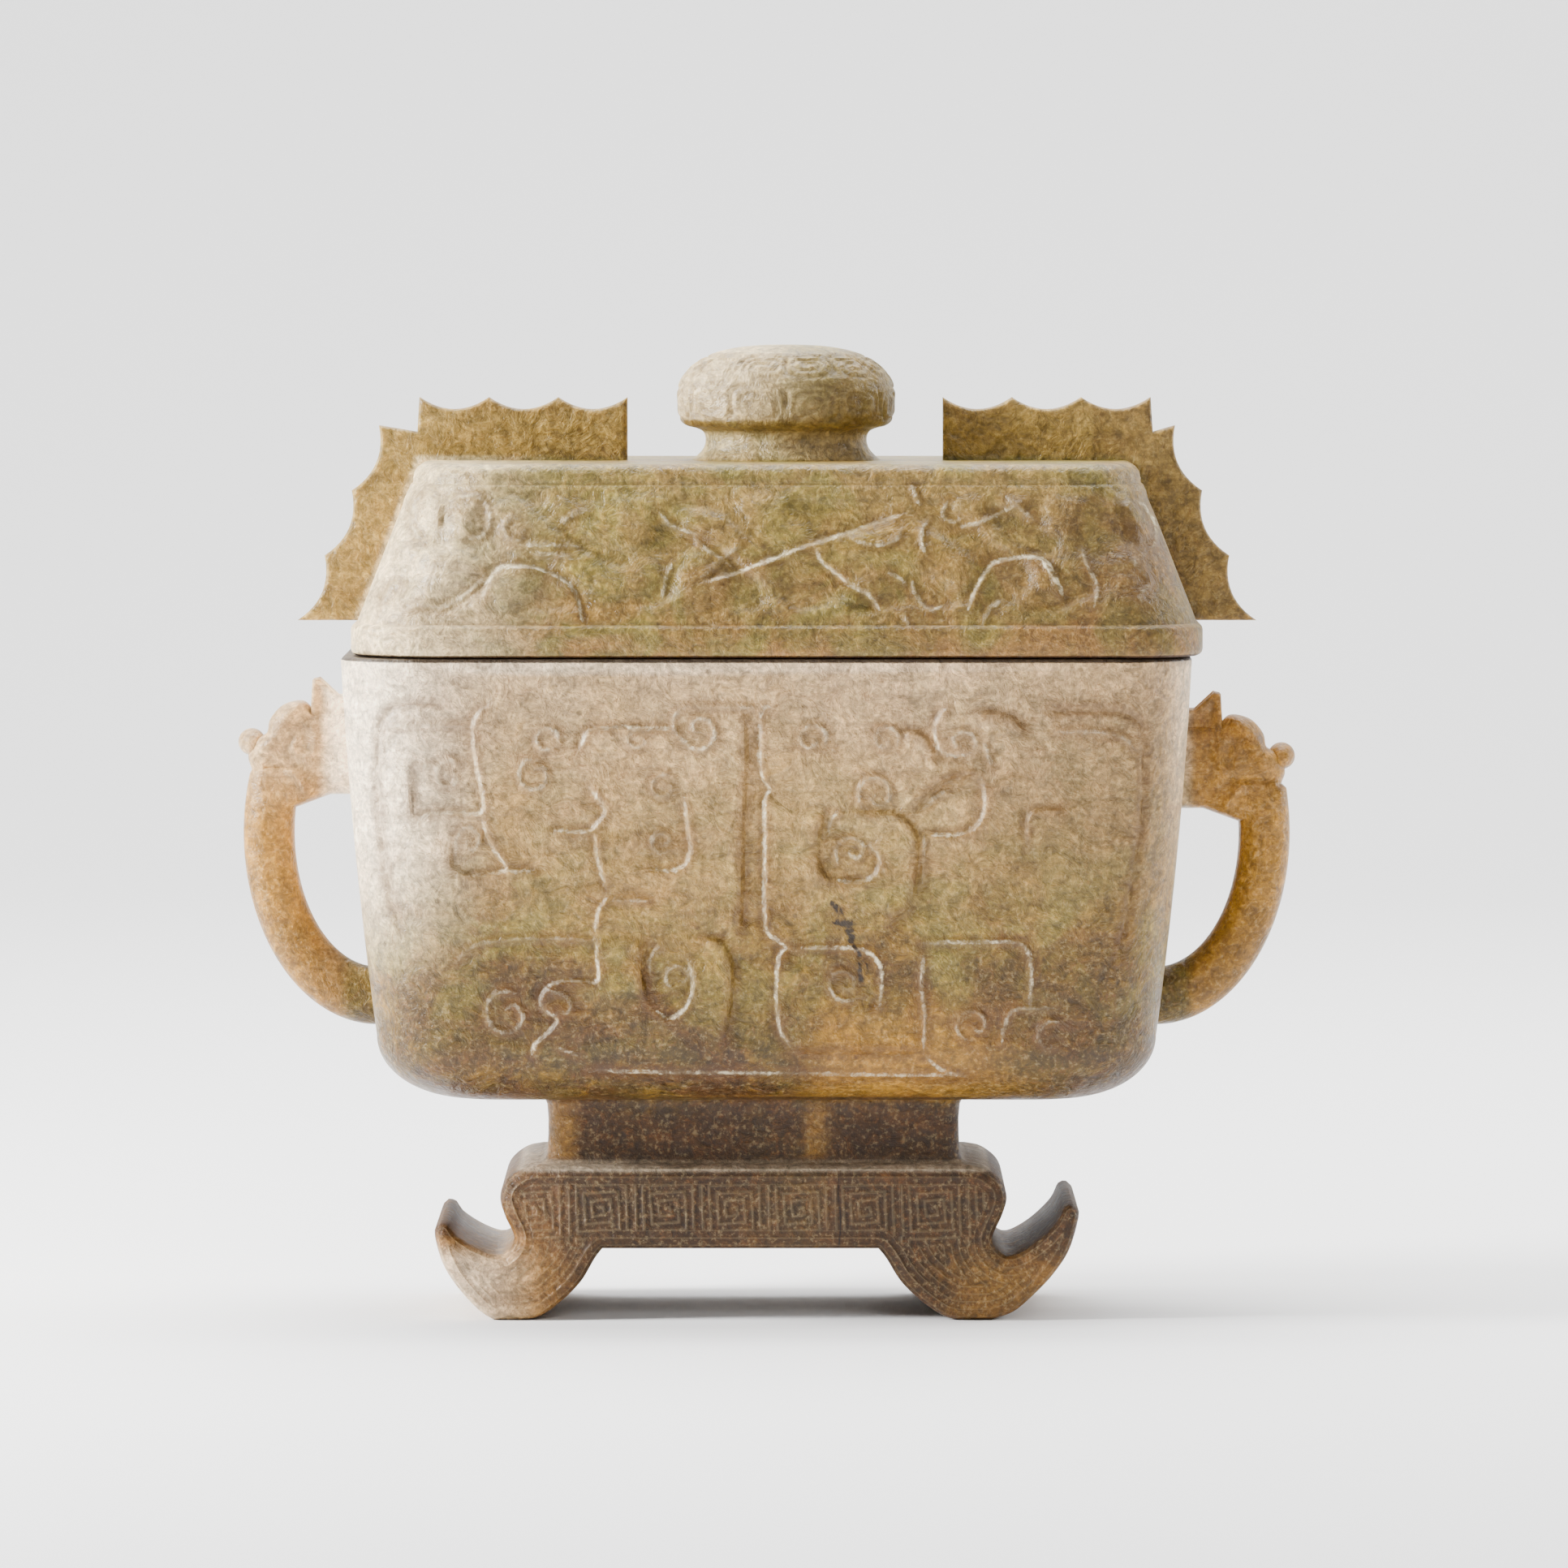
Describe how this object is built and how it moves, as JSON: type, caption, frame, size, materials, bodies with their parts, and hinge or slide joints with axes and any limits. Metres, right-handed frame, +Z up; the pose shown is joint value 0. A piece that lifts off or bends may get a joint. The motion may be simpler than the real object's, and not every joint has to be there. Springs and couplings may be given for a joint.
{
  "type": "lidded jade vase",
  "caption": "Rectangular carved jade vase with animal-head loop handles and a scrolled stand, and a loose domed lid with an oval knob and scalloped flanges.",
  "frame": {"origin": "on the surface the feet stand on, under the middle of the length across the handles", "axes": "+X along the long side, handle to handle; +Y to the back; +Z up"},
  "size_m": [0.1956, 0.0904, 0.1783],
  "materials": {
    "vessel_jade": "polished nephrite jade, pale beige above, olive and ochre below, brown at the stand, low carved relief with softened edges",
    "lid_jade": "polished nephrite jade, olive green with amber flanges and an incised knob"
  },
  "bodies": {
    "root": {"vessel": "vessel_jade", "lid": "lid_jade"}
  },
  "joints": []
}
